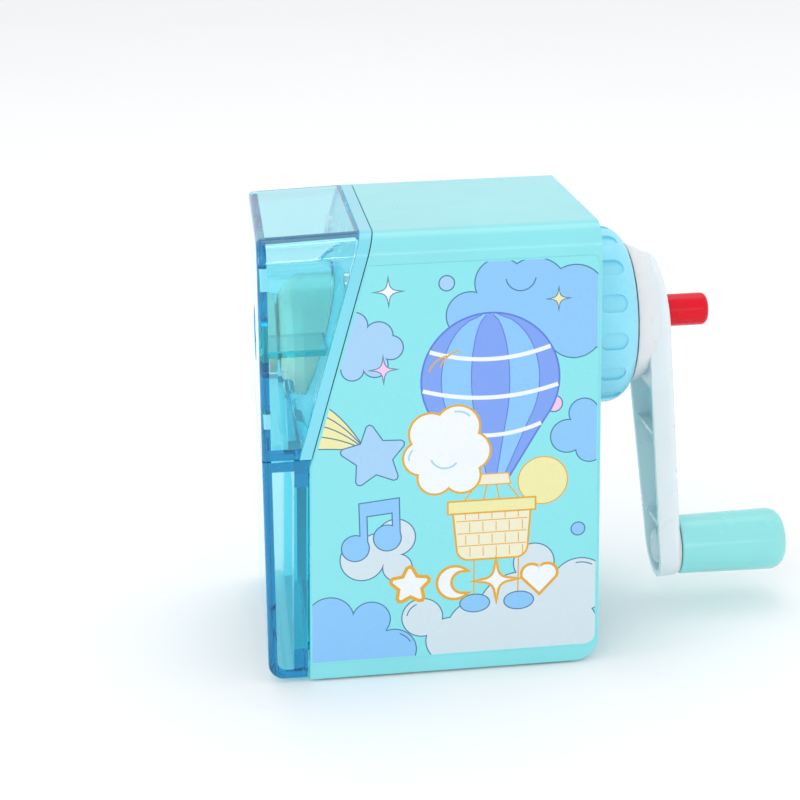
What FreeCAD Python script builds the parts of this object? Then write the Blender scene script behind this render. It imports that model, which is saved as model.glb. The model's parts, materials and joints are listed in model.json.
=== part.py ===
"""Desk pencil sharpener worked by a hand crank, with an adjustable point.

The pencil goes in at the -X end and the crank is at the +X end.
Frame: millimetres, +Z up, origin on the table under the middle of the body.
"""
import FreeCAD
import Part
import math
import os

V = FreeCAD.Vector

# ---- driving dimensions ---------------------------------------------------------------
HEIGHT = 100.0          # table to the top of the body
WIDTH = 60.0            # across the body, along Y
REAR_X = 36.4           # rear face of the housing
AXIS_Z = 72.4           # pencil and crank axis
FOOT = 0.6              # the rubber pad lifts the body by this much

WALL = 2.2              # opaque housing wall
CLEAR_WALL = 2.0        # transparent cover and drawer wall
TOP_ROUND = 5.3         # long top edges
REAR_ROUND = 5.5        # rear bottom edge
GAP = 0.35              # between the drawer and what it slides past

SEAM_X, SEAM_Z = -26.4, 50.0     # lower end of the slanted seam
SEAM_LEAN = 0.307                # seam's X travel for each mm of height
BEZEL = 2.7                      # width of the light frame along X
SPLIT_Z = 52.2                   # cover above, drawer below
FRONT_X, FRONT_TOP_X = -37.6, -35.3   # front face at the table and at the top
TOP_FALL = 0.6                   # the cover's top is this much lower at its front edge
CORNER = 3.5                     # rounded lower front edge of the drawer

GUIDE_R, GUIDE_BORE = 6.2, 4.05  # pencil guide tube
BODY_R, HOOD_R = 13.7, 15.7      # round body of the guide, and the cover's arch over it
HOOD_Z = 71.6                    # middle of both
HOOD_WALL = 1.6
SHELF_Z0, SHELF_Z1 = 74.6, 76.0  # the cover's inner shelf

SLEEVE_R = 16.4                  # cutter cartridge sleeve
SLEEVE_FRONT, SLEEVE_REAR = -7.5, 40.5
MODULE = 0.7                     # gear tooth size
RING_TEETH, PINION_TEETH = 40, 12

CUTTER_R = 5.5
CUTTER_TILT = 9.89               # degrees between the cutter axis and the pencil axis
CUTTER_X, CUTTER_OFF = 9.69, 7.37     # a point on the cutter axis: X and distance above the pencil axis
AXLE_R = 1.5

SHAFT_R = 7.0                    # hollow drive shaft
RUN = 0.05                       # radial clearance of a running fit

RING_R = 20.1                    # locking ring
RING_X0, RING_X1 = 36.8, 48.1
RING_ROUND = 5.7
SCALLOPS, FIRST_SCALLOP = 15, 20.4      # dents in the rim, and degrees from the top to the first

ARM_TILT = 5.2                   # the crank arm leans away from the body, degrees
ARM_THICK = 5.2
ARM_BACK_X = 50.9                # back face of the arm at the crank axis
HEAD_R, TIP_R = 13.5, 7.7        # rounded ends of the arm
HANDLE_Z = 14.1                  # axis of the handle
HANDLE_X0, HANDLE_X1 = 61.9, 87.6
HANDLE_R0, HANDLE_R1 = 7.0, 7.4
PIN_R = 2.5

KNOB_R = 3.7
KNOB_X0, KNOB_X1 = 50.8, 67.4

SIDE = WIDTH / 2
ABOVE = 200.0            # anything larger than the part


# ---- helpers --------------------------------------------------------------------------
def box(x0, x1, y0, y1, z0, z1):
    return Part.makeBox(x1 - x0, y1 - y0, z1 - z0, V(x0, y0, z0))


def rod(radius, x0, x1, y=0.0, z=AXIS_Z):
    """Cylinder along X."""
    return Part.makeCylinder(radius, x1 - x0, V(x0, y, z), V(1, 0, 0))


def post(radius, x, y, z0, z1):
    """Cylinder along Z."""
    return Part.makeCylinder(radius, z1 - z0, V(x, y, z0))


def tube(outer, inner, x0, x1):
    return rod(outer, x0, x1).cut(rod(inner, x0 - 1, x1 + 1))


def prism(points, half_width):
    """Outline of (x, z) points, extruded both ways along Y."""
    corners = [V(x, -half_width, z) for x, z in points]
    face = Part.Face(Part.makePolygon(corners + corners[:1]))
    return face.extrude(V(0, 2 * half_width, 0))


def turned(profile, z=AXIS_Z):
    """Outline of (x, radius) points, revolved about the axis along X at height z."""
    corners = [V(x, 0, z + radius) for x, radius in profile]
    face = Part.Face(Part.makePolygon(corners + corners[:1]))
    return face.revolve(V(0, 0, z), V(1, 0, 0), 360)


def rounded(shape, radius, wanted):
    """Fillet the edges whose middle point passes the test."""
    edges = [e for e in shape.Edges if wanted(e.BoundBox.Center, e)]
    return shape.makeFillet(radius, edges)


def runs_along(edge, axis):
    sizes = [edge.BoundBox.XLength, edge.BoundBox.YLength, edge.BoundBox.ZLength]
    return sizes[axis] > 0.5 and all(s < 0.02 for i, s in enumerate(sizes) if i != axis)


def spun(shape, degrees):
    copy = shape.copy()
    copy.rotate(V(0, 0, AXIS_Z), V(1, 0, 0), degrees)
    return copy


def sector(outer, inner, x0, x1, start, span):
    """Part of a tube about the pencil axis; 0 degrees is +Y and 90 is up."""
    piece = Part.makeCylinder(outer, x1 - x0, V(0, 0, 0), V(0, 0, 1), span)
    piece = piece.cut(Part.makeCylinder(inner, x1 - x0 + 2, V(0, 0, -1)))
    piece.rotate(V(0, 0, 0), V(0, 0, 1), start)
    piece.Placement = FreeCAD.Placement(V(x0, 0, AXIS_Z), FreeCAD.Rotation(V(0, 1, 0), V(0, 0, 1), V(1, 0, 0))) \
        .multiply(piece.Placement)
    return piece


def fused(first, *others):
    return first.multiFuse(list(others)).removeSplitter()


def seam_x(z):
    return SEAM_X + SEAM_LEAN * (z - SEAM_Z)


def behind_seam(shift, z0=-ABOVE, z1=ABOVE):
    """Everything on the +X side of the seam moved along X by shift."""
    return prism([(seam_x(z0) + shift, z0), (ABOVE, z0), (ABOVE, z1), (seam_x(z1) + shift, z1)], ABOVE)


def front_x(z):
    return FRONT_X + (FRONT_TOP_X - FRONT_X) * z / HEIGHT


def gear_outline(teeth, tip, root, width_pitch, radius):
    """Straight-sided teeth as (across, up) points, with a tooth centred on up."""
    points = []
    slope = 0.35 * width_pitch / (tip - root)
    for tooth in range(teeth):
        middle = math.pi / 2 + 2 * math.pi * tooth / teeth
        for r, side in ((root, -1), (tip, -1), (tip, 1), (root, 1)):
            half = (width_pitch / 2 + slope * (radius - r)) / r
            points.append((r * math.cos(middle + side * half), r * math.sin(middle + side * half)))
    return points


def along_x(outline, x0, x1):
    corners = [V(x0, a, b) for a, b in outline]
    return Part.Face(Part.makePolygon(corners + corners[:1])).extrude(V(x1 - x0, 0, 0))


def to_cutter_axis(shape):
    """Move a shape made about the X axis at the origin onto the tilted cutter axis."""
    copy = shape.copy()
    copy.rotate(V(0, 0, 0), V(0, 1, 0), CUTTER_TILT)
    copy.translate(V(CUTTER_X, 0, AXIS_Z + CUTTER_OFF))
    return copy


def save(name, shape):
    solids = shape.Solids
    shape = solids[0] if len(solids) == 1 else shape
    if not shape.isValid() or not solids:
        raise RuntimeError(name + " is not a valid solid")
    shape.exportStep(os.path.join("parts", name + ".step"))


# ---- housing --------------------------------------------------------------------------
BOSSES = [(x, y) for x in (-19.0, 26.0) for y in (-24.9, 24.9)]
PAD = (-24.0, 26.0, 19.0)        # rubber pad under the base: X from, X to, half width
PAD_DEEP = 0.8
NECK_R, NECK_X = 17.3, 40.4
LUGS = 3
LUG_SPAN = 24.0
PLATE_TOP = FOOT + 2.2
BEZEL_SCREWS = [(-24.4, 89.0), (24.4, 89.0)]


def housing_blank():
    """Outer form of the body, still running on past the seam to the front."""
    shape = prism([(-60, FOOT), (REAR_X, FOOT), (REAR_X, HEIGHT), (-60, HEIGHT)], SIDE)
    shape = rounded(shape, TOP_ROUND, lambda c, e: runs_along(e, 0) and c.z > HEIGHT - 1)
    shape = rounded(shape, REAR_ROUND, lambda c, e: runs_along(e, 1) and c.x > 30 and c.z < 10)
    return shape


def lugs(inner, outer, x0, x1, start):
    return [sector(outer, inner, x0, x1, start + i * 360.0 / LUGS, LUG_SPAN) for i in range(LUGS)]


def main_housing():
    shape = housing_blank()
    inside = prism([(-70, -5), (30.6, -5), (30.6, PLATE_TOP), (REAR_X - WALL, PLATE_TOP),
                    (REAR_X - WALL, HEIGHT - WALL), (-70, HEIGHT - WALL)], SIDE - WALL)
    inside = rounded(inside, TOP_ROUND - WALL, lambda c, e: runs_along(e, 0) and c.z > 90)
    shape = shape.cut(inside)
    lower = prism([(-28.5, -5), (SEAM_X, SEAM_Z), (ABOVE, SEAM_Z), (ABOVE, -5)], ABOVE)
    shape = shape.common(behind_seam(0, SEAM_Z).fuse(lower))
    bosses = [post(2.7, x, y, PLATE_TOP, 15.0).fuse(box(x - 1, x + 1, min(y, y * 1.13), max(y, y * 1.13),
                                                       PLATE_TOP, 15.0)) for x, y in BOSSES]
    shape = fused(shape, tube(NECK_R, SLEEVE_R + 0.1, REAR_X - 1, NECK_X), *bosses,
                  *lugs(NECK_R - 0.3, 18.3, 38.9, NECK_X, 78))
    shape = shape.cut(rod(SLEEVE_R + 0.1, 30, 50))
    for x, y in BOSSES:
        shape = shape.cut(post(1.3, x, y, 0, 12.0))
    for y, z in BEZEL_SCREWS:
        boss = rod(3.5, seam_x(z), seam_x(z) + 10.0, y, z).common(behind_seam(2.7))
        shape = shape.fuse(boss).removeSplitter()
        shape = shape.cut(rod(1.3, -40, seam_x(z) + 8.0, y, z))
    return shape


def base_plate():
    shape = box(-27.6, 30.4, -SIDE + WALL + 0.2, SIDE - WALL - 0.2, FOOT, PLATE_TOP)
    rails = [box(-24, 23, min(s * 20.9, s * 22.1), max(s * 20.9, s * 22.1), PLATE_TOP, 8.0) for s in (-1, 1)]
    shape = fused(shape, *rails)
    for x, y in BOSSES:
        shape = shape.cut(post(1.5, x, y, 0, 5)).cut(post(2.9, x, y, 0, FOOT + 1.3))
    return shape.cut(pad_block(0.05, 0))


def base_screw(x, y):
    head = post(2.6, x, y, FOOT + 0.2, FOOT + 1.3)
    slot = box(x - 2.0, x + 2.0, y - 0.35, y + 0.35, 0, FOOT + 0.8)
    cross = box(x - 0.35, x + 0.35, y - 2.0, y + 2.0, 0, FOOT + 0.8)
    return head.fuse(post(1.3, x, y, FOOT + 1.3, 12.0)).removeSplitter().cut(slot).cut(cross)


def pad_block(grow, z0):
    x0, x1, half = PAD
    block = box(x0 - grow, x1 + grow, -half - grow, half + grow, z0, FOOT + PAD_DEEP)
    return rounded(block, 4.0 + grow, lambda c, e: runs_along(e, 2))


def rubber_pad():
    """Thin anti-slip pad that the body stands on."""
    return rounded(pad_block(0.0, 0), 0.3, lambda c, e: e.BoundBox.ZMax < 0.01)


# ---- front frame, cover and pencil guide ----------------------------------------------
SOCKET_R = 18.3
SEAM_GAP = 0.25                  # groove on each side of the bezel
SNAPS = [(89.3, 94.1), (59.5, 62.8)]     # heights of the light snap blocks in the cover's corners


def front_bezel():
    """Light frame round the slanted seam, with the bulkhead and the cartridge's front socket."""
    slab = behind_seam(-BEZEL).cut(behind_seam(-SEAM_GAP))
    frame = housing_blank().common(slab).common(box(-60, 40, -ABOVE, ABOVE, SPLIT_Z, ABOVE))
    opening = prism([(-60, SPLIT_Z + 1.8), (40, SPLIT_Z + 1.8), (40, HEIGHT - WALL), (-60, HEIGHT - WALL)],
                    SIDE - WALL)
    opening = rounded(opening, TOP_ROUND - WALL, lambda c, e: runs_along(e, 0) and c.z > 90)
    frame = frame.cut(opening)
    wall_zone = behind_seam(-BEZEL + 0.5).cut(behind_seam(-0.5))
    wall = housing_blank().common(wall_zone).common(box(-60, 40, -SIDE + 1.2, SIDE - 1.2, SPLIT_Z + 0.5,
                                                      HEIGHT - 1.2))
    lip = behind_seam(-0.6, SPLIT_Z + 0.5).cut(behind_seam(2.4)).common(
        box(-60, 40, -SIDE + WALL + 0.15, SIDE - WALL - 0.15, SPLIT_Z + 0.5, HEIGHT - WALL - 3.4))
    hollow = box(-60, 40, -SIDE + WALL + 1.5, SIDE - WALL - 1.5, 0, HEIGHT - WALL - 5.0)
    socket = tube(SOCKET_R, SLEEVE_R + 0.1, -30, -4.5).common(behind_seam(-BEZEL + 0.5))
    shape = fused(frame, wall, lip.cut(hollow), socket)
    shape = shape.cut(rod(GUIDE_R + 0.1, -60, 0))
    shape = shape.cut(rod(SLEEVE_R + 0.1, -12.0, 0))
    for y, z in BEZEL_SCREWS:
        shape = shape.cut(rod(1.3, -40, 0, y, z)).cut(rod(2.5, -40, seam_x(z) - 1.4, y, z))
    return shape


def bezel_screw(y, z):
    seat = seam_x(z) - 1.4
    return rod(1.3, seat, seat + 8.0, y, z).fuse(rod(2.4, seat - 1.5, seat, y, z)).removeSplitter()


def cover_outer(grow=0.0):
    """Outer form of the clear cover, or its inside when grow is negative."""
    top = HEIGHT + grow
    front = -grow
    points = [(front_x(SPLIT_Z) + front, SPLIT_Z + 0.1 - grow), (0, SPLIT_Z + 0.1 - grow), (0, top + 0.41),
              (seam_x(HEIGHT) - BEZEL, top), (FRONT_TOP_X + front, top - TOP_FALL)]
    shape = prism(points, SIDE + grow)
    shape = rounded(shape, TOP_ROUND + grow,
                    lambda c, e: e.BoundBox.XLength > 5 and e.BoundBox.YLength < 0.1 and c.z > 90)
    if grow == 0:
        shape = rounded(shape, 1.2, lambda c, e: c.x < -34 and (e.BoundBox.ZLength > 20 or
                                                                runs_along(e, 1) and c.z > 90))
    return shape


def snap_block(side, low, high, grow=0.0):
    """Block beside the front wall, in a window of the cover's side wall."""
    front = front_x(high)
    y0, y1 = sorted((side * (26.8 - grow), side * (SIDE + 1)))
    return box(front + 0.5 - grow, front + 2.1 + grow, y0, y1, low - grow, high + grow)


def front_cover():
    """Clear cover with an inner shelf that arches over the pencil guide."""
    shelf = box(-60, 40, -SIDE, SIDE, SHELF_Z0, SHELF_Z1)
    arch = rod(HOOD_R, -60, 40, 0, HOOD_Z).common(box(-60, 40, -SIDE, SIDE, SHELF_Z0, ABOVE))
    shelf = shelf.fuse(arch).cut(rod(HOOD_R - HOOD_WALL, -70, 50, 0, HOOD_Z))
    shelf = shelf.cut(behind_seam(-BEZEL - 0.3)).common(cover_outer(-CLEAR_WALL / 2))
    shape = cover_outer().cut(cover_outer(-CLEAR_WALL)).fuse(shelf).removeSplitter()
    shape = shape.cut(behind_seam(-BEZEL - SEAM_GAP + 0.03))
    for side in (-1, 1):
        for low, high in SNAPS:
            shape = shape.cut(snap_block(side, low, high, 0.05))
    return shape.cut(rod(GUIDE_R + 0.05, -60, -30))


def cover_snap(side, low, high):
    return snap_block(side, low, high).common(cover_outer())


def pencil_guide():
    """Tube from the mouth in the front wall to the cutter, with a collar and a hollow domed body."""
    wall_in = front_x(AXIS_Z) + CLEAR_WALL + 0.1
    mouth = front_x(AXIS_Z) + 0.3
    tube_part = turned([(mouth, 0), (mouth, GUIDE_R), (wall_in + 0.6, GUIDE_R), (wall_in + 0.6, 9.0),
                        (wall_in + 2.2, 9.0), (wall_in + 2.4, 8.8), (wall_in + 2.4, GUIDE_R),
                        (-15.0, GUIDE_R), (-15.0, 0)])
    skin = 1.8
    dome = [(-30.7, 0), (-30.7, 8.8), (-29.5, 11.2), (-27.9, 12.8), (-25.8, BODY_R), (0, BODY_R), (0, 0)]
    hollow = [(-30.7 + skin, 0), (-30.7 + skin, 8.6), (-25.8, BODY_R - skin), (0, BODY_R - skin), (0, 0)]
    body = turned(dome, HOOD_Z).cut(turned(hollow, HOOD_Z)).cut(behind_seam(-BEZEL + 0.45))
    bore = turned([(mouth - 1, 0), (mouth - 1, 5.7), (mouth, 5.4), (mouth + 3.0, GUIDE_BORE),
                   (-10, GUIDE_BORE), (-10, 0)])
    return fused(tube_part, body).cut(bore)


def cover_latch(side):
    """Springy strip with a hook and a gusset, standing on the floor of the cover."""
    low = SPLIT_Z + 0.1 + CLEAR_WALL
    strip = [(-30.7, low), (-27.7, low), (-26.5, 58.6), (-27.2, 60.0), (-28.8, 60.8), (-29.4, 62.2),
             (-29.4, 65.2), (-28.9, 65.6), (-28.0, 65.0), (-28.5, 66.8), (-29.6, 67.5), (-30.6, 67.2),
             (-31.0, 66.3), (-30.6, 65.4)]
    shape = prism(strip, 4.0)
    shape.translate(V(0, side * 23.8, 0))
    return shape


# ---- printed side panels --------------------------------------------------------------
LABEL_THICK = 0.15
LABEL_LOW, LABEL_HIGH = 4.4, 93.6
LABEL_REAR = 35.8


def side_label(side):
    """Printed sheet on one long side."""
    margin = 0.35
    low_x = -28.5 + (SEAM_X + 28.5) * LABEL_LOW / SEAM_Z
    outline = [(low_x + margin, LABEL_LOW), (LABEL_REAR, LABEL_LOW), (LABEL_REAR, LABEL_HIGH),
               (seam_x(LABEL_HIGH) + margin, LABEL_HIGH), (SEAM_X + margin, SEAM_Z)]
    shape = prism(outline, LABEL_THICK / 2)
    shape.translate(V(0, side * (SIDE + LABEL_THICK / 2), 0))
    shape = rounded(shape, 1.5, lambda c, e: c.x > 35 and c.z > 90 and e.BoundBox.YLength > 0.1)
    return rounded(shape, 2.5, lambda c, e: c.x > 35 and c.z < 10 and e.BoundBox.YLength > 0.1)


# ---- shavings drawer ------------------------------------------------------------------
BIN_HALF = 20.5
BIN_REAR, BIN_TOP = 22.0, 45.0
DRAWER_TOP = SPLIT_Z - 0.2


def drawer_body():
    """Clear drawer: the full-width front box with its rear rim, and the narrower bin behind it."""
    low = FOOT + 0.2

    def edge(z):
        return -28.5 - GAP + (SEAM_X + 28.5) * z / SEAM_Z

    front = prism([(front_x(low) + 0.2, low), (edge(low), low), (edge(SEAM_Z), SEAM_Z),
                   (seam_x(DRAWER_TOP) - GAP, DRAWER_TOP), (front_x(DRAWER_TOP), DRAWER_TOP)], SIDE)
    front = rounded(front, CORNER, lambda c, e: runs_along(e, 1) and c.x < -35 and c.z < 5)
    front = rounded(front, 1.2, lambda c, e: c.x < -34 and e.BoundBox.ZLength > 20)
    hollow = prism([(front_x(3) + CLEAR_WALL + 0.2, low + CLEAR_WALL), (edge(low) - 2.9, low + CLEAR_WALL),
                    (edge(SEAM_Z) - 2.9, DRAWER_TOP - 2.7),
                    (front_x(DRAWER_TOP) + CLEAR_WALL, DRAWER_TOP - 2.7)], SIDE - CLEAR_WALL)
    hollow = rounded(hollow, CORNER - 1.5, lambda c, e: runs_along(e, 1) and c.x < -33 and c.z < 5)
    wall = 1.6
    bin_low = PLATE_TOP + 0.4
    tray = box(-30.5, BIN_REAR, -BIN_HALF, BIN_HALF, bin_low, BIN_TOP)
    tray_inside = box(-40, BIN_REAR - wall, -BIN_HALF + wall, BIN_HALF - wall, bin_low + wall, 60)
    throat = box(-33.0, -24.0, -BIN_HALF + wall, BIN_HALF - wall, bin_low + wall, BIN_TOP - wall)
    tray = tray.cut(tray_inside)
    shape = front.cut(hollow)
    tray = tray.cut(prism([(-60, -5), (edge(-5) - 0.5, -5), (edge(60) - 0.5, 60), (-60, 60)], SIDE))
    return fused(shape, tray).cut(throat)


# ---- cutter cartridge -----------------------------------------------------------------
RING_PITCH = MODULE * RING_TEETH / 2
PINION_PITCH = MODULE * PINION_TEETH / 2
TOOTH = 0.86                     # tooth thickness at the pitch circle, with backlash
GEAR_REAR = -2.0
BUSH_R = 8.6


def cartridge_sleeve():
    """Sleeve that holds the crank and cutter, with the fixed internal gear at its front end."""
    shape = rod(SLEEVE_R, SLEEVE_FRONT, SLEEVE_REAR).cut(rod(15.2, GEAR_REAR, 36.6))
    gaps = gear_outline(RING_TEETH, RING_PITCH + 0.9, RING_PITCH - 0.55, math.pi * MODULE - TOOTH, RING_PITCH)
    void = along_x(gaps, SLEEVE_FRONT - 1, GEAR_REAR + 0.5)
    void.translate(V(0, 0, AXIS_Z))
    shape = shape.cut(void).cut(rod(RING_PITCH - 0.55, SLEEVE_FRONT - 1, GEAR_REAR + 0.5))
    shape = shape.cut(rod(BUSH_R, 30, 50))
    shape = shape.cut(sector(20, 10, 1.0, 30.0, 215, 110))
    for start in (20, 130):
        shape = shape.cut(sector(20, 10, 6.0, 26.0, start, 30))
    return fused(shape, tube(NECK_R, BUSH_R, SLEEVE_REAR, 42.0))


def bearing_bush():
    return tube(BUSH_R, SHAFT_R + RUN, 36.6, 42.0)


def cutter_carrier():
    """Cast yoke with two cheeks joined by two bars, clamped on the drive shaft."""
    front = rod(12.9, -11.0, -7.5).fuse(rod(6.0, -14.0, -11.0))
    rear = rod(13.5, 21.0, 25.5).fuse(rod(9.5, 25.5, 33.0))
    bars = [sector(12.9, 10.3, -8.0, 22.0, start, 35) for start in (190, 315)]
    shape = fused(front, rear, *bars)
    shape = shape.cut(rod(GUIDE_BORE + 0.1, -20, -5)).cut(rod(2.1, 15, 30)).cut(rod(SHAFT_R, 27.5, 40))
    return shape.cut(to_cutter_axis(Part.makeCylinder(AXLE_R, 60, V(-30, 0, 0), V(1, 0, 0))))


def on_axis(x):
    """Distance along the tilted cutter axis at a given X."""
    return (x - CUTTER_X) / math.cos(math.radians(CUTTER_TILT))


def cutter_axle():
    return to_cutter_axis(Part.makeCylinder(AXLE_R, on_axis(24.6) - on_axis(-10.4), V(on_axis(-10.4), 0, 0),
                                            V(1, 0, 0)))


def helical_cutter():
    """Steel cutter with twisted blades, as a stack of ruled lofts."""
    blades, twist = 10, 55.0
    start, end = on_axis(-1.3), on_axis(17.3)
    steps = 3
    sections = []
    for step in range(steps + 1):
        share = step / steps
        turn = math.radians(twist * share)
        x = start + (end - start) * share
        ring = []
        for blade in range(blades):
            at = 2 * math.pi * blade / blades + turn
            for offset, radius in ((0.0, CUTTER_R), (0.10, CUTTER_R), (0.42, CUTTER_R - 1.1)):
                ring.append(V(x, radius * math.cos(at + offset), radius * math.sin(at + offset)))
        sections.append(Part.makePolygon(ring + ring[:1]))
    body = Part.makeLoft(sections, True, True)
    return to_cutter_axis(body.cut(Part.makeCylinder(AXLE_R + RUN, 60, V(-30, 0, 0), V(1, 0, 0))))


def cutter_pinion():
    outline = gear_outline(PINION_TEETH, PINION_PITCH + 0.5, PINION_PITCH - 1.0, TOOTH, PINION_PITCH)
    x0, x1 = on_axis(-6.2), on_axis(-3.2)
    body = along_x(outline, x0, x1)
    hub = Part.makeCylinder(2.8, on_axis(-1.4) - x1, V(x1, 0, 0), V(1, 0, 0))
    bore = Part.makeCylinder(AXLE_R + RUN, 60, V(-30, 0, 0), V(1, 0, 0))
    return to_cutter_axis(fused(body, hub).cut(bore))


# ---- crank ----------------------------------------------------------------------------
BOSS_R = 16.3
BOSS_X = 48.4
BORE_X = 38.0                    # shoulder for the return spring
ARM_SKIN = 1.8
RIB_ZS = (44.0, 20.5)


def drive_shaft():
    shape = rod(SHAFT_R, 27.5, 54.0)
    return shape.cut(rod(KNOB_R + 0.3, BORE_X, 60)).cut(rod(2.05, 20, 60))


def shaft_clip():
    return sector(8.8, SHAFT_R, 34.6, 35.4, 110, 320)


def arm_outline(head, tip, x0, x1):
    """Tapered bar with round ends, between the crank axis and the handle axis."""
    reach = AXIS_Z - HANDLE_Z
    lean = math.asin((head - tip) / reach)
    ends = {}
    for side in (-1, 1):
        across, down = side * math.cos(lean), -math.sin(lean)
        ends[side] = (V(x0, head * across, AXIS_Z + head * down), V(x0, tip * across, HANDLE_Z + tip * down))
    wire = Part.Wire([
        Part.Arc(ends[1][0], V(x0, 0, AXIS_Z + head), ends[-1][0]).toShape(),
        Part.LineSegment(ends[-1][0], ends[-1][1]).toShape(),
        Part.Arc(ends[-1][1], V(x0, 0, HANDLE_Z - tip), ends[1][1]).toShape(),
        Part.LineSegment(ends[1][1], ends[1][0]).toShape()])
    return Part.Face(wire).extrude(V(x1 - x0, 0, 0))


def leaned(shape):
    copy = shape.copy()
    copy.rotate(V(ARM_BACK_X, 0, AXIS_Z), V(0, 1, 0), -ARM_TILT)
    return copy


def crank_arm():
    """Round boss over the locking ring and the leaning, hollow-backed arm."""
    front = ARM_BACK_X + ARM_THICK
    bar = arm_outline(HEAD_R, TIP_R, ARM_BACK_X, front)
    bar = rounded(bar, 1.6, lambda c, e: e.BoundBox.XMin > front - 0.01)
    pocket = arm_outline(HEAD_R - 1.6, TIP_R - 1.6, ARM_BACK_X - 1, front - ARM_SKIN)
    pocket = pocket.common(box(0, 90, -20, 20, 0, AXIS_Z - 15.4))
    for z in RIB_ZS:
        pocket = pocket.cut(box(ARM_BACK_X + 0.9, 90, -20, 20, z - 0.5, z + 0.5))
    pocket = pocket.cut(box(ARM_BACK_X + 2.2, 90, -20, 20, 0, RIB_ZS[1]))
    bar = leaned(bar.cut(pocket))
    boss = turned([(BOSS_X, 0), (BOSS_X, RING_R - RING_ROUND), (BOSS_X - 0.35, BOSS_R), (53.6, HEAD_R), (53.6, 0)])
    root = rod(6.8, 58.5, HANDLE_X0 - 0.3, 0, HANDLE_Z)
    shape = fused(bar, boss, root).cut(rod(HEAD_R, HANDLE_X0 - 0.3, 70, 0, HANDLE_Z))
    shape = shape.cut(rod(SHAFT_R, 40, 54.0)).cut(rod(KNOB_R + 0.3, 40, 70))
    shape = shape.cut(rod(BOSS_R - 3.3, BOSS_X - 1, BOSS_X + 2.6).cut(rod(SHAFT_R + 2.5, 40, 60)))
    return shape.cut(rod(PIN_R, 50, 70, 0, HANDLE_Z)).cut(rod(4.2, 50, 57.8, 0, HANDLE_Z))


def handle_pin():
    profile = [(56.6, 0), (56.6, 3.6), (57.0, 4.0), (57.8, 4.0), (57.8, PIN_R), (80.4, PIN_R),
               (80.9, PIN_R + 0.5), (81.5, PIN_R + 0.5), (82.8, PIN_R - 0.6), (82.8, 0)]
    return turned(profile, HANDLE_Z)


def handle_grip():
    """One-piece grip with a blind bore, snapped over the pin."""
    outer = turned([(HANDLE_X0, 0), (HANDLE_X0, HANDLE_R0), (HANDLE_X1, HANDLE_R1), (HANDLE_X1, 0)], HANDLE_Z)
    outer = rounded(outer, 3.4, lambda c, e: e.BoundBox.XMin > HANDLE_X1 - 0.1)
    outer = rounded(outer, 0.5, lambda c, e: e.BoundBox.XMax < HANDLE_X0 + 0.1)
    bore = PIN_R + RUN
    cavity = turned([(HANDLE_X0 - 1, 0), (HANDLE_X0 - 1, bore), (79.8, bore), (80.3, bore + 0.7),
                     (82.0, bore + 0.7), (82.6, bore), (84.0, bore), (84.0, 0)], HANDLE_Z)
    return outer.cut(cavity)


# ---- push and turn adjuster -----------------------------------------------------------
ROD_R = 0.5
SEAT_X = 49.0


def adjuster_sleeve():
    """Keyed sleeve that carries the knob and seats the return spring."""
    return fused(rod(2.0, 24.0, SEAT_X), rod(KNOB_R, SEAT_X, 50.5)).cut(rod(ROD_R + RUN, 0, 60))


def adjuster_knob():
    body = rounded(rod(KNOB_R, KNOB_X0, KNOB_X1), 1.3, lambda c, e: e.BoundBox.XMin > KNOB_X1 - 0.1)
    return body.cut(rod(ROD_R + RUN, 40, 63.0))


def lead_stop_rod():
    return turned([(17.5, 0), (17.5, 0.3), (17.8, ROD_R), (61.5, ROD_R), (61.5, 0)])


def return_spring():
    wire, coil_r, turns = 0.3, 3.3, 5.0
    length = SEAT_X - BORE_X - 2 * wire - 0.1
    helix = Part.makeHelix(length / turns, length, coil_r)
    start = V(coil_r, 0, 0)
    section = Part.Wire(Part.makeCircle(wire, start, V(0, 1, 0)))
    spring = Part.Wire(helix).makePipeShell([section], True, True)
    spring.rotate(V(0, 0, 0), V(0, 1, 0), 90)
    spring.translate(V(BORE_X + wire + 0.05, 0, AXIS_Z))
    return spring


# ---- locking ring ---------------------------------------------------------------------
def scallop():
    """Pill-shaped dent, lying along X, at the top of the rim."""
    length, width, depth = 6.4, 4.0, 0.8
    x = 41.6
    pill = box(x - (length - width) / 2, x + (length - width) / 2, -width / 2, width / 2, 0, 10)
    for end in (-1, 1):
        pill = pill.fuse(post(width / 2, x + end * (length - width) / 2, 0, 0, 10))
    pill.translate(V(0, 0, AXIS_Z + RING_R - depth))
    return pill.removeSplitter()


def lock_ring():
    """Bayonet ring that holds the cutter cartridge in the housing."""
    body = rod(RING_R, RING_X0, RING_X1)
    body = rounded(body, RING_ROUND, lambda c, e: e.BoundBox.XMin > RING_X1 - 0.1)
    body = body.cut(rod(18.6, RING_X0 - 1, 41.0))
    body = body.cut(turned([(40.9, 0), (40.9, 18.6), (43.0, 18.6), (45.4, 16.6), (45.4, 0)]))
    press = tube(17.1, 15.6, 42.3, 46.0)
    body = fused(body, press, *lugs(17.7, 18.8, 36.9, 38.5, 78))
    body = body.cut(rod(11.0, 30, 60))
    dent = scallop()
    for i in range(SCALLOPS):
        body = body.cut(spun(dent, FIRST_SCALLOP + i * 360.0 / SCALLOPS))
    return body


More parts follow.
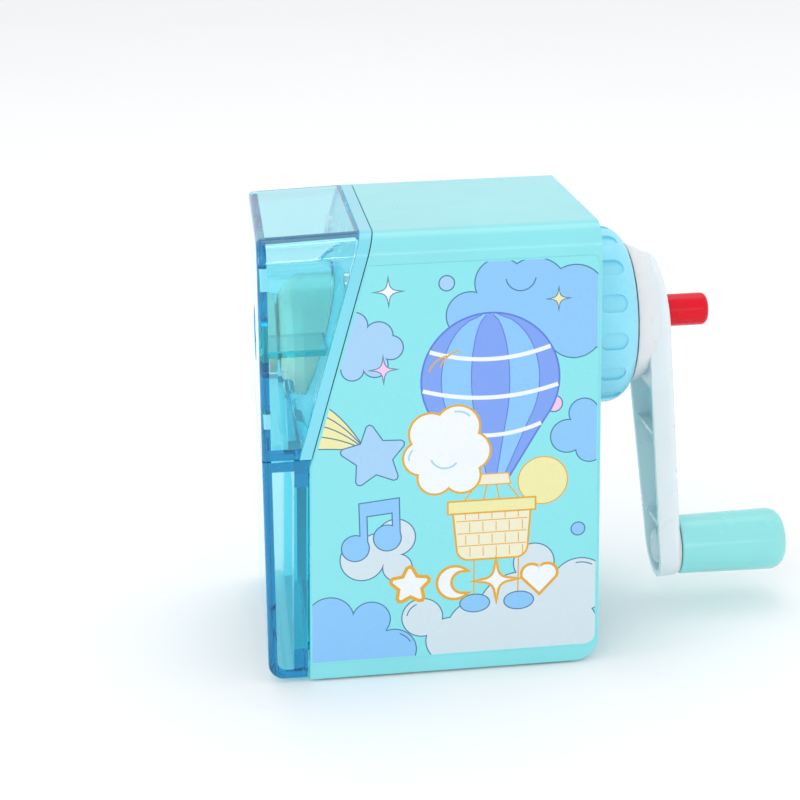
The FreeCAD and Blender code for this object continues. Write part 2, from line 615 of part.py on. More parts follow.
# ---- write the parts ------------------------------------------------------------------
def main():
    os.makedirs("parts", exist_ok=True)
    save("main_housing", main_housing())
    save("base_plate", base_plate())
    for number, (x, y) in enumerate(BOSSES, 1):
        save("base_screw_%d" % number, base_screw(x, y))
    save("rubber_pad", rubber_pad())
    save("front_bezel", front_bezel())
    for number, (y, z) in enumerate(BEZEL_SCREWS, 1):
        save("bezel_screw_%d" % number, bezel_screw(y, z))
    save("front_cover", front_cover())
    save("pencil_guide", pencil_guide())
    for name, side in (("near", -1), ("far", 1)):
        save("cover_latch_" + name, cover_latch(side))
        for height, (low, high) in zip(("high", "low"), SNAPS):
            save("cover_snap_%s_%s" % (name, height), cover_snap(side, low, high))
        save("side_label_" + name, side_label(side))
    save("drawer_body", drawer_body())
    save("cartridge_sleeve", cartridge_sleeve())
    save("bearing_bush", bearing_bush())
    save("cutter_carrier", cutter_carrier())
    save("cutter_axle", cutter_axle())
    save("helical_cutter", helical_cutter())
    save("cutter_pinion", cutter_pinion())
    save("drive_shaft", drive_shaft())
    save("shaft_clip", shaft_clip())
    save("crank_arm", crank_arm())
    save("handle_pin", handle_pin())
    save("handle_grip", handle_grip())
    save("adjuster_sleeve", adjuster_sleeve())
    save("adjuster_knob", adjuster_knob())
    save("lead_stop_rod", lead_stop_rod())
    save("return_spring", return_spring())
    save("lock_ring", lock_ring())


main()
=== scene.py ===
"""Looks of a hand-crank pencil sharpener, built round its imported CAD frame.

Lengths named here are in millimetres in the frame's own axes, and become metres in the meshes.
"""

import json
import math

import bmesh
import bpy
from mathutils import Matrix, Vector
from mathutils.geometry import delaunay_2d_cdt


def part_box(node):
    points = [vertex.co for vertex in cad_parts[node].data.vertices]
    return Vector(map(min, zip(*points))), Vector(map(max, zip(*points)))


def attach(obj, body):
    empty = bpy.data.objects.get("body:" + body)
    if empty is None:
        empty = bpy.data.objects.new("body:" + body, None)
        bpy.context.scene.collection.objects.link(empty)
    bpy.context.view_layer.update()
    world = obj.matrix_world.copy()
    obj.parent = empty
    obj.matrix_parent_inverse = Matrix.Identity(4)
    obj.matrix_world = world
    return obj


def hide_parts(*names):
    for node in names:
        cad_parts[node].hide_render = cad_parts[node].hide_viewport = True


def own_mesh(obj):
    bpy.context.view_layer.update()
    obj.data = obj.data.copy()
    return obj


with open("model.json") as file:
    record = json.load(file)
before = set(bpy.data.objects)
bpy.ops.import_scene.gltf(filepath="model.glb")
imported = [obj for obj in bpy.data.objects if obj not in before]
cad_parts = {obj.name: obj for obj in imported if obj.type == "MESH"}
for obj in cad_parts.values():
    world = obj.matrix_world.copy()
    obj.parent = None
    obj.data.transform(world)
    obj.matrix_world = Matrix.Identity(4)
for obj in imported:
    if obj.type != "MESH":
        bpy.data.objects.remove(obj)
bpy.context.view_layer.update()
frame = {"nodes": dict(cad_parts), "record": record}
MM = 0.001


# ---- materials ------------------------------------------------------------------------
def new_material(name):
    material = bpy.data.materials.new(name)
    material.use_nodes = True
    tree = material.node_tree
    shader = tree.nodes["Principled BSDF"]
    return material, tree, shader


def noise(tree, scale, detail=3.0, grain=(1.0, 1.0, 1.0)):
    """Noise pattern; scale is in features per metre, and grain under 1 draws it out along that axis."""
    place = tree.nodes.new("ShaderNodeTexCoord")
    stretch = tree.nodes.new("ShaderNodeMapping")
    stretch.inputs["Scale"].default_value = grain
    pattern = tree.nodes.new("ShaderNodeTexNoise")
    pattern.inputs["Scale"].default_value = scale
    pattern.inputs["Detail"].default_value = detail
    tree.links.new(place.outputs["Object"], stretch.inputs["Vector"])
    tree.links.new(stretch.outputs["Vector"], pattern.inputs["Vector"])
    return pattern.outputs["Fac"]


def ramp(tree, value, low, high, start=0.3, end=0.7):
    """Map a pattern to a number or colour between low and high."""
    node = tree.nodes.new("ShaderNodeValToRGB")
    for element, place, shade in zip(node.color_ramp.elements, (start, end), (low, high)):
        element.position = place
        element.color = (shade, shade, shade, 1) if isinstance(shade, float) else (*shade, 1)
    tree.links.new(value, node.inputs["Fac"])
    return node.outputs["Color"]


def add_bump(tree, shader, height, strength, distance):
    node = tree.nodes.new("ShaderNodeBump")
    node.inputs["Strength"].default_value = strength
    node.inputs["Distance"].default_value = distance
    tree.links.new(height, node.inputs["Height"])
    tree.links.new(node.outputs["Normal"], shader.inputs["Normal"])


def shade(colour, factor):
    return tuple(min(1.0, c * factor) for c in colour)


def moulded_plastic(name, colour, roughness=0.22, glow=0.12, depth=0.0012, texture=0.04,
                    spread=0.05, ior=1.5):
    """Opaque gloss plastic: slight colour drift, uneven polish and a faint orange-peel skin."""
    material, tree, shader = new_material(name)
    drift = ramp(tree, noise(tree, 28.0), shade(colour, 1 - spread), shade(colour, 1 + spread * 0.6))
    tree.links.new(drift, shader.inputs["Base Color"])
    polish = ramp(tree, noise(tree, 160.0), roughness * 0.8, roughness * 1.25)
    tree.links.new(polish, shader.inputs["Roughness"])
    shader.inputs["IOR"].default_value = ior
    shader.inputs["Subsurface Weight"].default_value = glow
    shader.inputs["Subsurface Radius"].default_value = (0.6, 1.0, 1.1)
    shader.inputs["Subsurface Scale"].default_value = depth
    add_bump(tree, shader, noise(tree, 600.0, 1.0), texture, 0.0001)
    return material


def drawn_plastic(name, colour, roughness=0.22):
    """Gloss plastic with shallow waves along X, as on a grip drawn from a long mould."""
    material, tree, shader = new_material(name)
    drift = ramp(tree, noise(tree, 28.0), shade(colour, 0.95), shade(colour, 1.03))
    tree.links.new(drift, shader.inputs["Base Color"])
    polish = ramp(tree, noise(tree, 160.0), roughness * 0.8, roughness * 1.25)
    tree.links.new(polish, shader.inputs["Roughness"])
    shader.inputs["Subsurface Weight"].default_value = 0.15
    shader.inputs["Subsurface Scale"].default_value = 0.0015
    add_bump(tree, shader, noise(tree, 420.0, 1.0, grain=(0.04, 1.0, 1.0)), 0.55, 0.0006)
    return material


def clear_plastic(name, lamp_tint, absorb, density, painted_glow):
    """Tinted clear plastic, bluer with depth; its surface emits a faint painted glow in place of light
    trapped inside it.
    """
    material, tree, shader = new_material(name)
    shader.inputs["Base Color"].default_value = (0.90, 0.93, 0.94, 1)
    shader.inputs["Transmission Weight"].default_value = 1.0
    shader.inputs["IOR"].default_value = 1.5
    # Painted glow: the surface emits a faint blue light that stands in for light trapped in the plastic.
    shader.inputs["Emission Color"].default_value = (*painted_glow, 1)
    shader.inputs["Emission Strength"].default_value = 1.0
    tree.links.new(ramp(tree, noise(tree, 240.0), 0.01, 0.04), shader.inputs["Roughness"])
    add_bump(tree, shader, noise(tree, 90.0, 1.0), 0.02, 0.0003)
    lamps = tree.nodes.new("ShaderNodeBsdfTransparent")
    lamps.inputs["Color"].default_value = (*lamp_tint, 1)
    path = tree.nodes.new("ShaderNodeLightPath")
    mix = tree.nodes.new("ShaderNodeMixShader")
    tree.links.new(path.outputs["Is Shadow Ray"], mix.inputs["Fac"])
    tree.links.new(shader.outputs["BSDF"], mix.inputs[1])
    tree.links.new(lamps.outputs["BSDF"], mix.inputs[2])
    volume = tree.nodes.new("ShaderNodeVolumeAbsorption")
    volume.inputs["Color"].default_value = (*absorb, 1)
    volume.inputs["Density"].default_value = density
    output = tree.nodes["Material Output"]
    tree.links.new(mix.outputs["Shader"], output.inputs["Surface"])
    tree.links.new(volume.outputs["Volume"], output.inputs["Volume"])
    return material


def milky_plastic(name, colour):
    """Translucent plastic that lets some light through."""
    material, tree, shader = new_material(name)
    tree.links.new(ramp(tree, noise(tree, 120.0), shade(colour, 0.94), shade(colour, 1.04)),
                   shader.inputs["Base Color"])
    shader.inputs["Subsurface Weight"].default_value = 0.5
    shader.inputs["Subsurface Scale"].default_value = 0.002
    tree.links.new(ramp(tree, noise(tree, 300.0), 0.25, 0.4), shader.inputs["Roughness"])
    add_bump(tree, shader, noise(tree, 500.0), 0.05, 0.0002)
    return material


def metal(name, colour, roughness, grain=(1.0, 1.0, 1.0), strength=0.1):
    """Bare metal; grain draws out the tool marks."""
    material, tree, shader = new_material(name)
    shader.inputs["Metallic"].default_value = 1.0
    marks = noise(tree, 900.0, grain=grain)
    tree.links.new(ramp(tree, marks, shade(colour, 0.88), shade(colour, 1.05)), shader.inputs["Base Color"])
    tree.links.new(ramp(tree, marks, roughness * 0.75, roughness * 1.3), shader.inputs["Roughness"])
    add_bump(tree, shader, marks, strength, 0.0001)
    return material


def rubber(name):
    material, tree, shader = new_material(name)
    tree.links.new(ramp(tree, noise(tree, 200.0), (0.02, 0.021, 0.023), (0.035, 0.036, 0.038)),
                   shader.inputs["Base Color"])
    tree.links.new(ramp(tree, noise(tree, 700.0), 0.65, 0.85), shader.inputs["Roughness"])
    add_bump(tree, shader, noise(tree, 1500.0), 0.3, 0.0002)
    return material


def ink(name, colour, roughness=0.28):
    """Printed colour: a fine dot screen over a slightly uneven film."""
    material, tree, shader = new_material(name)
    place = tree.nodes.new("ShaderNodeTexCoord")
    dots = tree.nodes.new("ShaderNodeTexVoronoi")
    dots.inputs["Scale"].default_value = 2600.0
    tree.links.new(place.outputs["Object"], dots.inputs["Vector"])
    screen = ramp(tree, dots.outputs["Distance"], shade(colour, 0.985), shade(colour, 1.012), 0.2, 0.6)
    tree.links.new(screen, shader.inputs["Base Color"])
    film = ramp(tree, noise(tree, 60.0), roughness * 0.85, roughness * 1.2)
    tree.links.new(film, shader.inputs["Roughness"])
    add_bump(tree, shader, noise(tree, 35.0, 1.0), 0.03, 0.0005)
    return material


def srgb(red, green, blue):
    """Linear colour from 8-bit display values."""
    values = []
    for value in (red, green, blue):
        value /= 255
        values.append(value / 12.92 if value <= 0.04045 else ((value + 0.055) / 1.055) ** 2.4)
    return tuple(values)


MINT = srgb(132, 216, 222)
ICE = srgb(122, 208, 226)

MATERIALS = {
    "mint_shell": moulded_plastic("mint_shell", MINT, glow=0.0),
    "ice_frame": moulded_plastic("ice_frame", ICE, glow=0.0),
    # clear_blue carries a faint painted glow: its surface emits blue light in place of trapped light.
    "clear_blue": clear_plastic("clear_blue", lamp_tint=(0.82, 0.96, 0.99), absorb=(0.0, 0.865, 0.93),
                                density=175.0, painted_glow=(0.0, 0.016, 0.024)),
    "guide_cream": milky_plastic("guide_cream", srgb(228, 222, 200)),
    "ring_blue": moulded_plastic("ring_blue", srgb(144, 222, 243), roughness=0.3),
    "crank_white": moulded_plastic("crank_white", srgb(222, 229, 233), roughness=0.3, glow=0.6,
                                   depth=0.004, spread=0.01),
    "grip_mint": drawn_plastic("grip_mint", srgb(142, 220, 220)),
    "knob_red": moulded_plastic("knob_red", srgb(222, 2, 36), roughness=0.25, ior=1.33),
    "base_grey": moulded_plastic("base_grey", srgb(150, 214, 218), roughness=0.5, texture=0.3),
    "gear_white": moulded_plastic("gear_white", srgb(226, 228, 222), roughness=0.4),
    "rubber_dark": rubber("rubber_dark"),
    "cutter_steel": metal("cutter_steel", (0.46, 0.47, 0.49), 0.3, (0.2, 1.0, 1.0)),
    "screw_steel": metal("screw_steel", (0.62, 0.63, 0.66), 0.25),
    "yoke_cast": metal("yoke_cast", (0.42, 0.43, 0.45), 0.5, strength=0.4),
    "bush_brass": metal("bush_brass", (0.75, 0.55, 0.25), 0.3, (0.2, 1.0, 1.0)),
}

for entry in frame["record"]["subparts"]:
    if entry["material_slot"] in MATERIALS:
        node = frame["nodes"][entry["node"]]
        node.data.materials.clear()
        node.data.materials.append(MATERIALS[entry["material_slot"]])


# ---- printed side panels --------------------------------------------------------------
INKS = {
    "panel": srgb(130, 216, 222),
    "line": srgb(58, 112, 146),
    "gold": srgb(216, 160, 22),
    "violet": srgb(84, 116, 204),
    "sky": srgb(130, 188, 236),
    "pale_sky": srgb(156, 198, 232),
    "peri": srgb(116, 152, 228),
    "cloud": srgb(200, 216, 224),
    "cream": srgb(228, 224, 196),
    "yellow": srgb(226, 222, 160),
    "pink": srgb(232, 190, 218),
    "white": srgb(228, 233, 238),
}
INK_NAMES = list(INKS)
INK_MATERIALS = [ink("ink_" + name, colour) for name, colour in INKS.items()]

LINE = 0.26               # printed outline
SHEET = 0.13              # thickness of the panel's film
FILM_GAP = 0.004          # between the film and the housing
PRINT_MARGIN = 0.25       # bare edge of the film, which no shape is printed on
PANEL_LOW, PANEL_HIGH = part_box("side_label_near")
PANEL_Z0, PANEL_Z1 = PANEL_LOW.z / MM, PANEL_HIGH.z / MM
PANEL_X0, PANEL_X1 = PANEL_LOW.x / MM, PANEL_HIGH.x / MM
SEAM_LOW_X, SEAM_LOW_Z, SEAM_LEAN = -26.05, 50.0, 0.307
TOP_CORNER, LOW_CORNER = 1.5, 2.5


def arc(x, z, radius, start, end, steps=24):
    """Points on an arc, in degrees from +X."""
    return [(x + radius * math.cos(math.radians(a)), z + radius * math.sin(math.radians(a)))
            for a in (start + (end - start) * i / steps for i in range(steps + 1))]


def disc(x, z, radius):
    return arc(x, z, radius, 0, 360, 48)[:-1]


def grown(points, amount):
    """The outline moved outwards by amount; points run anticlockwise."""
    moved = []
    count = len(points)
    for i, here in enumerate(points):
        here = Vector(here)
        before = (here - Vector(points[i - 1])).normalized()
        after = (Vector(points[(i + 1) % count]) - here).normalized()
        across = Vector((before.y + after.y, -before.x - after.x))
        across.normalize()
        cosine = max(0.35, across.dot(Vector((before.y, -before.x))))
        moved.append(tuple(here + across * amount / cosine))
    return moved


def clipped(points, border):
    """Keep what lies inside the convex border, which runs anticlockwise."""
    for i, start in enumerate(border):
        end = border[(i + 1) % len(border)]

        def inwards(p):
            """Positive on the border's inner side."""
            return (end[0] - start[0]) * (p[1] - start[1]) - (end[1] - start[1]) * (p[0] - start[0])

        kept = []
        for j, here in enumerate(points):
            before = points[j - 1]
            a, b = inwards(before), inwards(here)
            if (a >= 0) != (b >= 0):
                share = a / (a - b)
                kept.append((before[0] + share * (here[0] - before[0]),
                             before[1] + share * (here[1] - before[1])))
            if b >= 0:
                kept.append(here)
        points = kept
        if len(points) < 3:
            return []
    return points


def panel_outline(inset=0.0):
    """Anticlockwise outline of the panel, seen from the near side."""
    low, high = PANEL_Z0 + inset, PANEL_Z1 - inset
    right = PANEL_X1 - inset
    points = [(PANEL_X0 + inset, low)]
    points += arc(right - LOW_CORNER, low + LOW_CORNER, LOW_CORNER, -90, 0, 8)
    points += arc(right - TOP_CORNER, high - TOP_CORNER, TOP_CORNER, 0, 90, 8)
    points.append((SEAM_LOW_X + SEAM_LEAN * (high - SEAM_LOW_Z) + inset, high))
    points.append((SEAM_LOW_X + inset, SEAM_LOW_Z))
    return points


class Print:
    """Flat shapes printed over each other on one panel; the last one printed shows."""

    def __init__(self, side):
        self.side = side
        self.shapes = []
        self.border = panel_outline(PRINT_MARGIN)

    def fill(self, points, colour):
        """One shape, cut off at the panel's edge."""
        points = clipped(points, self.border)
        if points:
            self.shapes.append((points, colour))

    def shape(self, points, colour, outline="line", width=LINE):
        self.fill(grown(points, width), outline)
        self.fill(points, colour)

    def cloud(self, lobes, colour, outline="line", width=LINE):
        for x, z, radius in lobes:
            self.fill(disc(x, z, radius + width), outline)
        for x, z, radius in lobes:
            self.fill(disc(x, z, radius), colour)

    def stroke(self, points, colour, width=LINE):
        """An open line of this width."""
        left, right = [], []
        for i, here in enumerate(points):
            here = Vector(here)
            ahead = Vector(points[min(i + 1, len(points) - 1)])
            behind = Vector(points[max(i - 1, 0)])
            along = (ahead - behind).normalized()
            across = Vector((-along.y, along.x)) * width / 2
            left.append(tuple(here + across))
            right.append(tuple(here - across))
        self.fill(right + left[::-1], colour)

    def sparkle(self, x, z, size, colour, outline="line", width=0.2):
        """Four-pointed star with hollow sides."""
        points = []
        for quarter in range(4):
            points += [(x + a, z + b) for a, b in self.hollow_quarter(size, quarter)]
        self.shape(points, colour, outline, width)

    @staticmethod
    def hollow_quarter(size, quarter):
        turn = Matrix.Rotation(math.radians(90 * quarter), 2)
        points = []
        for step in range(7):
            angle = math.radians(90 * step / 7)
            place = Vector((size * (1 - math.sin(angle)) ** 1.3, size * (1 - math.cos(angle)) ** 1.3))
            points.append(tuple(turn @ place))
        return points

    def star(self, x, z, size, colour, turn, outline="line", width=LINE):
        """Five-pointed star with blunt tips."""
        points = []
        for tip in range(5):
            middle = turn + 72 * tip
            for offset, radius in ((-5, size * 0.96), (0, size), (5, size * 0.96), (36, size * 0.56)):
                angle = math.radians(middle + offset)
                points.append((x + radius * math.cos(angle), z + radius * math.sin(angle)))
        self.shape(points, colour, outline, width)

    def finish(self, name):
        """One closed film whose face is divided along the outlines of the shapes."""
        shapes = [(panel_outline(), "panel")] + self.shapes
        corners, faces = [], []
        for points, _ in shapes:
            faces.append(range(len(corners), len(corners) + len(points)))
            corners += [Vector(point) for point in points]
        places, _, triangles, _, _, sources = delaunay_2d_cdt(corners, [], faces, 1, 1e-4)

        wall = -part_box("main_housing")[0].y / MM
        mesh = bmesh.new()
        front = [mesh.verts.new((x * MM, self.side * (wall + SHEET) * MM, z * MM)) for x, z in places]
        for triangle, above in zip(triangles, sources):
            face = mesh.faces.new([front[i] for i in triangle])
            face.material_index = INK_NAMES.index(shapes[max(above)][1])
        rim = [edge for edge in mesh.edges if edge.is_boundary]
        grown_edges = bmesh.ops.extrude_edge_only(mesh, edges=rim)["geom"]
        for vertex in grown_edges:
            if isinstance(vertex, bmesh.types.BMVert):
                vertex.co.y = self.side * (wall + FILM_GAP) * MM
        bmesh.ops.edgeloop_fill(mesh, edges=[e for e in grown_edges if isinstance(e, bmesh.types.BMEdge)])
        bmesh.ops.recalc_face_normals(mesh, faces=mesh.faces)

        data = bpy.data.meshes.new(name)
        mesh.to_mesh(data)
        mesh.free()
        for material in INK_MATERIALS:
            data.materials.append(material)
        piece = bpy.data.objects.new(name, data)
        bpy.context.scene.collection.objects.link(piece)
        return piece


def print_sky(art):
    """Clouds, dots and small sparkles."""
    art.cloud([(8.4, 82.1, 4.9), (14.7, 88.8, 5.1), (22.1, 86.8, 6.8), (30.6, 85.3, 6.4), (21.0, 78.2, 6.4),
               (30.7, 77.6, 5.9), (36.0, 79.6, 5.9), (17.0, 82.5, 6.0)], "sky")
    art.stroke(arc(19.2, 90.0, 3.2, 190, 350), "line")
    art.cloud([(-16.0, 81.1, 2.8), (-10.9, 78.7, 2.9), (-8.4, 76.0, 2.5), (-11.8, 72.4, 2.6),
               (-16.6, 71.6, 2.3), (-18.5, 75.6, 3.8), (-13.8, 76.0, 4.3)], "pale_sky")
    art.cloud([(32.7, 59.2, 3.1), (29.2, 54.1, 3.6), (34.1, 51.1, 3.0), (35.6, 56.2, 4.2)], "sky")
    art.cloud([(-23.4, 14.8, 5.1), (-14.4, 14.1, 4.1), (-9.6, 6.4, 4.9), (-21.6, 4.9, 6.4),
               (-28.0, 10.3, 6.4), (-15.0, 8.0, 5.0), (-19.0, 10.5, 4.0)], "sky")
    art.stroke(arc(-9.6, 6.4, 4.1, 25, 70), "line")
    art.cloud([(21.8, 25.2, 4.4), (-3.1, 13.8, 4.4), (32.1, 19.0, 6.4), (9.7, 9.8, 7.4), (18.7, 13.5, 9.5),
               (27.7, 8.4, 8.5), (3.0, 7.9, 5.3)], "cloud")
    art.stroke(arc(-3.1, 13.8, 3.4, 110, 170), "line")
    art.stroke(arc(32.1, 19.0, 5.5, 60, 100), "line")
    dots = ((3.6, 89.2, 1.5, "pale_sky"), (26.2, 61.6, 1.7, "pink"), (31.6, 32.5, 1.4, "sky"))
    for x, z, radius, colour in dots:
        art.shape(disc(x, z, radius), colour)
    art.sparkle(-8.6, 88.0, 3.1, "white")
    art.sparkle(-10.1, 71.2, 3.0, "pink")
    art.sparkle(27.2, 84.7, 2.4, "yellow")


def print_shooting_star(art):
    """Blue star with a banded yellow tail."""
    tip_x, tip_z = -14.5, 53.6
    left, top_z, band_width, bands = -27.0, 65.4, 2.7, 4

    def edge(z):
        return [(left + (tip_x - left) * t, z + (tip_z - z) * t ** 1.9) for t in (i / 10 for i in range(11))]

    for band in range(bands):
        high = top_z - band_width * band
        art.shape(edge(high - band_width) + edge(high)[::-1][1:], "yellow")
    art.star(-12.7, 52.0, 7.1, "pale_sky", 96)


def print_note(art):
    """Blue pair of notes on a pale cloud."""
    art.cloud([(-8.4, 33.2, 4.1), (-15.9, 28.4, 4.7), (-8.3, 26.1, 3.1), (-12.5, 30.6, 3.7)], "cloud")
    beam = [(-16.1, 38.4), (-7.6, 39.2), (-7.6, 42.2), (-16.1, 41.4)]
    stems = ([(-16.1, 31.4), (-14.7, 31.4), (-14.7, 39.5), (-16.1, 39.5)],
             [(-9.0, 33.0), (-7.6, 33.0), (-7.6, 40.2), (-9.0, 40.2)])
    heads = (disc(-17.3, 31.2, 2.9), disc(-10.3, 33.2, 2.9))
    for outline in (*heads, *stems, beam):
        art.fill(grown(outline, LINE), "line")
    for outline in (*heads, *stems, beam):
        art.fill(outline, "sky")


BALLOON_X, BALLOON_Z, BALLOON_R = 12.6, 67.6, 14.6
MOUTH_Z, MOUTH_HALF = 45.6, 3.6


def balloon_half_width(z):
    """Half width of the balloon at this height: a circle, then straight in to the mouth."""
    joint_z = BALLOON_Z - BALLOON_R * 0.62
    if z >= joint_z:
        return math.sqrt(max(0.0, BALLOON_R ** 2 - (z - BALLOON_Z) ** 2))
    joint = math.sqrt(BALLOON_R ** 2 - (joint_z - BALLOON_Z) ** 2)
    return MOUTH_HALF + (joint - MOUTH_HALF) * (z - MOUTH_Z) / (joint_z - MOUTH_Z)


def gore(left, right, steps=30):
    """Strip of the balloon between two shares of its half width."""
    height = BALLOON_Z + BALLOON_R - 0.01 - MOUTH_Z
    levels = [MOUTH_Z + height * math.sin(math.pi / 2 * i / steps) for i in range(steps + 1)]
    sides = [[(BALLOON_X + share * balloon_half_width(z), z) for z in levels] for share in (left, right)]
    return sides[1] + sides[0][::-1]


def print_balloon(art):
    """Striped hot-air balloon with a basket."""
    art.shape(disc(23.8, 44.3, 5.3), "yellow", "gold")
    art.fill(grown(gore(-1.0, 1.0), 0.4), "violet")
    cuts = (-1.0, -0.72, -0.28, 0.28, 0.72, 1.0)
    for left, right, colour in zip(cuts, cuts[1:], ("peri", "sky", "peri", "sky", "peri")):
        art.fill(gore(left, right), colour)
    for share in cuts[1:-1]:
        line = [(BALLOON_X + share * balloon_half_width(z), z) for z in
                (MOUTH_Z + (BALLOON_Z + BALLOON_R - 0.2 - MOUTH_Z) * i / 30 for i in range(31))]
        art.stroke(line, "violet", 0.22)
    for z in (74.5, 66.0, 57.5):
        half = balloon_half_width(z)
        band = [(BALLOON_X + half * t, z - 2.2 * (1 - t * t)) for t in (i / 12 - 1 for i in range(25))]
        art.stroke(band, "white", 0.9)
    art.stroke([(x - 8.2, z + 0.8) for x, z in arc(12.6, 67.6, 5.2, 100, 160)], "gold", 0.35)
    art.stroke([(x - 5.6, z + 1.6) for x, z in arc(12.6, 67.6, 5.4, 100, 160)], "gold", 0.35)
    art.shape([(8.6, 44.2), (16.6, 44.2), (16.2, 46.4), (9.0, 46.4)], "cream", "gold")
    for top, foot in ((9.2, 5.0), (11.6, 10.4), (13.6, 14.8), (16.0, 20.2)):
        art.stroke([(top, 44.2), (foot, 38.4)], "gold", 0.3)
    for x in (8.6, 18.4):
        art.stroke([(x, 27.4), (x - 0.2, 18.0)], "gold", 0.3)
        art.shape([(x + 3.2 * math.cos(a), 16.4 + 2.0 * math.sin(a)) for a in
                   (math.tau * i / 32 for i in range(32))], "sky")
    corners = arc(7.4, 29.4, 2.4, 190, 270, 8) + arc(17.8, 29.4, 2.4, 270, 350, 8)
    basket = [(4.2, 39.0)] + corners + [(21.0, 39.0)]
    art.shape(basket, "cream", "gold", 0.45)
    for z in (35.9, 33.0, 30.1):
        art.stroke([(4.6 + (39 - z) * 0.06, z), (20.6 - (39 - z) * 0.06, z)], "gold", 0.22)
    for row, z in enumerate((37.3, 34.4, 31.5, 28.6)):
        for step in range(5):
            x = 6.8 + step * 2.9 + (row % 2) * 0.9
            art.stroke([(x, z - 1.1), (x, z + 1.1)], "gold", 0.2)
    rim = [(3.2, 37.9), (22.0, 37.9), (22.0, 40.4), (3.2, 40.4)]
    art.shape(rim, "yellow", "gold", 0.4)


def print_puff(art):
    """White gold-edged cloud in front of the balloon."""
    x, z = 2.6, 51.8
    art.cloud([(x - 3.0, z + 4.6, 4.4), (x + 2.8, z + 5.8, 4.6), (x - 5.2, z - 0.8, 3.6),
               (x + 5.4, z + 0.2, 4.2), (x, z, 5.0), (x - 2.2, z - 5.4, 3.6), (x + 3.6, z - 5.2, 3.8)],
              "white", "gold", 0.5)
    art.stroke(arc(x + 2.8, z + 5.8, 3.5, 40, 100), "pale_sky", 0.4)
    art.stroke(arc(x, z - 0.2, 3.2, 200, 320), "pale_sky", 0.4)
    art.stroke(arc(x - 5.2, z - 0.8, 2.6, 130, 190), "pale_sky", 0.35)


def print_bunting(art):
    """Row of plain gold-edged shapes under the balloon."""
    z, edge = 21.6, 0.8
    art.star(-5.6, z, 4.0, "white", 90, "gold", edge)
    crescent = arc(4.2, z, 3.6, 60, 300) + arc(6.1, z, 2.9, 275, 85)
    art.shape(crescent, "white", "gold", edge * 0.8)
    art.sparkle(13.4, z, 4.6, "white", "gold", edge * 0.7)
    tip, lobe = (23.0, z - 3.6), 2.0
    left = arc(tip[0] - lobe * 0.85, z + 0.9, lobe, 20, 200, 16)
    right = [(2 * tip[0] - x, height) for x, height in left][::-1]
    art.shape(right + left + [tip], "white", "gold", edge * 0.8)


def side_panel(name, node, side):
    art = Print(side)
    print_sky(art)
    print_shooting_star(art)
    print_note(art)
    print_balloon(art)
    print_puff(art)
    print_bunting(art)
    piece = art.finish(name)
    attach(piece, "housing")
    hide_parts(node)


side_panel("printed_panel_near", "side_label_near", -1)
side_panel("printed_panel_far", "side_label_far", 1)


# ---- return spring --------------------------------------------------------------------
def return_spring(wire=0.3, turns=5, steps=36, sides=8):
    """Wire coil behind the knob, built rigid at its rest length; the real spring shortens as the knob is
    pushed in.
    """
    low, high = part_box("return_spring")
    wire *= MM
    coil = (high.z - low.z) / 2 - wire
    axis_z = (high.z + low.z) / 2
    mesh = bmesh.new()
    rings = []
    for step in range(turns * steps + 1):
        angle = math.tau * step / steps
        x = low.x + wire + (high.x - low.x - 2 * wire) * step / (turns * steps)
        outwards = Vector((0, math.sin(angle), -math.cos(angle)))
        centre = Vector((x, 0, axis_z)) + outwards * coil
        section = (math.tau * side / sides for side in range(sides))
        rings.append([mesh.verts.new(centre + (outwards * math.cos(a) + Vector((math.sin(a), 0, 0))) * wire)
                      for a in section])
    for before, after in zip(rings, rings[1:]):
        for i in range(sides):
            j = (i + 1) % sides
            mesh.faces.new([before[i], before[j], after[j], after[i]])
    mesh.faces.new(rings[0])
    mesh.faces.new(rings[-1][::-1])
    bmesh.ops.recalc_face_normals(mesh, faces=mesh.faces)
    for face in mesh.faces:
        face.smooth = len(face.verts) == 4
    data = bpy.data.meshes.new("coil_spring")
    mesh.to_mesh(data)
    mesh.free()
    data.materials.append(MATERIALS["screw_steel"])
    spring = bpy.data.objects.new("coil_spring", data)
    bpy.context.scene.collection.objects.link(spring)
    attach(spring, "crank")
    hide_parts("return_spring")
    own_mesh(spring)


return_spring()


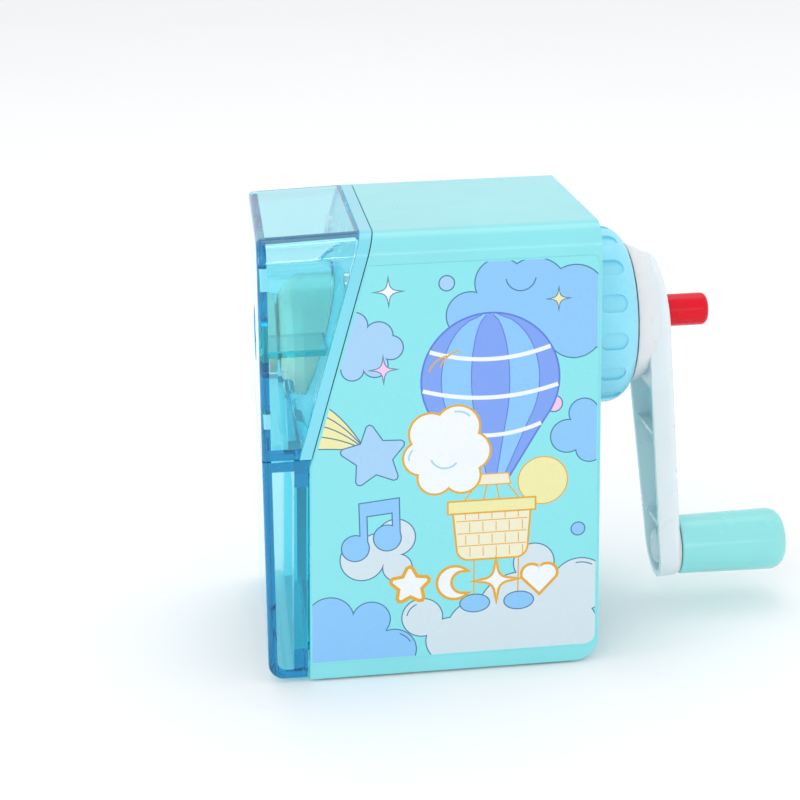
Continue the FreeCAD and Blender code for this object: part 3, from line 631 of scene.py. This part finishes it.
# ---- camera, lights and floor ---------------------------------------------------------
def look(location, yaw, pitch, roll, lens):
    """Camera at location, turned yaw to the right of +Y, pitch down and roll, in degrees."""
    yaw, pitch, roll = (math.radians(a) for a in (yaw, pitch, roll))
    forward = Vector((math.sin(yaw) * math.cos(pitch), math.cos(yaw) * math.cos(pitch), -math.sin(pitch)))
    level = Vector((math.cos(yaw), -math.sin(yaw), 0))
    upright = level.cross(forward)
    right = math.cos(roll) * level + math.sin(roll) * upright
    up = -math.sin(roll) * level + math.cos(roll) * upright
    data = bpy.data.cameras.new("camera")
    data.lens = lens
    data.sensor_width = 36.0
    data.clip_start, data.clip_end = 0.01, 20.0
    camera = bpy.data.objects.new("camera", data)
    camera.matrix_world = Matrix((
        (right.x, up.x, -forward.x, location[0] * MM),
        (right.y, up.y, -forward.y, location[1] * MM),
        (right.z, up.z, -forward.z, location[2] * MM),
        (0, 0, 0, 1)))
    bpy.context.scene.collection.objects.link(camera)
    bpy.context.scene.camera = camera


def softbox(name, location, target, width, height, power):
    data = bpy.data.lights.new(name, "AREA")
    data.shape = "RECTANGLE"
    data.size, data.size_y = width, height
    data.energy = power
    lamp = bpy.data.objects.new(name, data)
    lamp.location = location
    direction = Vector(target) - Vector(location)
    lamp.rotation_euler = direction.to_track_quat("-Z", "Y").to_euler()
    bpy.context.scene.collection.objects.link(lamp)


def studio_floor():
    material, tree, shader = new_material("studio_floor")
    tree.links.new(ramp(tree, noise(tree, 3.0), (0.93, 0.935, 0.94), (0.95, 0.955, 0.96)),
                   shader.inputs["Base Color"])
    shader.inputs["Roughness"].default_value = 0.7
    mesh = bmesh.new()
    bmesh.ops.create_grid(mesh, x_segments=2, y_segments=2, size=6.0)
    data = bpy.data.meshes.new("floor")
    mesh.to_mesh(data)
    mesh.free()
    data.materials.append(material)
    floor = bpy.data.objects.new("floor", data)
    bpy.context.scene.collection.objects.link(floor)


look(location=(-42.466, -379.050, 179.064), yaw=5.842, pitch=18.105, roll=-1.503, lens=78.74)
studio_floor()
softbox("key", (-0.42, -0.85, 0.75), (0, 0, 0.05), 0.45, 0.45, 1.3)
softbox("fill", (-0.9, -0.1, 0.3), (0, 0, 0.06), 0.45, 0.45, 2.0)
softbox("top", (0.1, 0.35, 1.1), (0, 0, 0.05), 0.6, 0.6, 1.6)
softbox("strip", (0.05, -0.95, 0.30), (0, 0, 0.1), 0.6, 0.025, 0.7)

world = bpy.data.worlds.new("world")
world.use_nodes = True
world.node_tree.nodes["Background"].inputs["Color"].default_value = (0.98, 0.99, 1.0, 1)
world.node_tree.nodes["Background"].inputs["Strength"].default_value = 0.95
bpy.context.scene.world = world
bpy.context.scene.view_settings.view_transform = "Standard"

# Light is reflected many times inside the clear plastic before it leaves at an edge.
bpy.context.scene.cycles.glossy_bounces = 16
bpy.context.scene.cycles.transmission_bounces = 16
bpy.context.scene.cycles.max_bounces = 18
